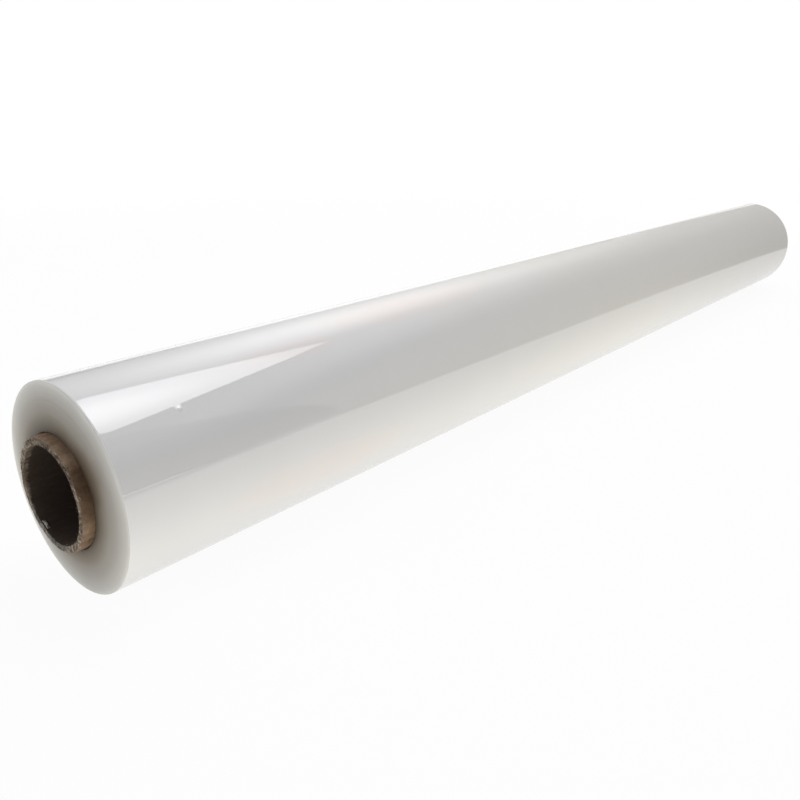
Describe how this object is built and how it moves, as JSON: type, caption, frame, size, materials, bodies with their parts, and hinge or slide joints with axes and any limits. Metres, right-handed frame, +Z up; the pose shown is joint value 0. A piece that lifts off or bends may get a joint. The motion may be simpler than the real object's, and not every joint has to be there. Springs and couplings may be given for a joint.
{
  "type": "cellophane roll",
  "caption": "Long roll of clear gift-wrap film wound on a paperboard core that stands out of both ends; lies at rest on a narrow flat.",
  "frame": {"origin": "on the surface that the roll lies on, halfway along the roll and under its axis", "axes": "+X along the roll's axis, away from the end where the inner turns stand proud; +Y across the roll; +Z up, as it lies at rest"},
  "size_m": [0.8134, 0.0895, 0.0893],
  "materials": {
    "core_board": "matte",
    "wound_film": "gloss"
  },
  "bodies": {
    "root": {"core_tube": "core_board", "film_roll": "wound_film"}
  },
  "joints": []
}
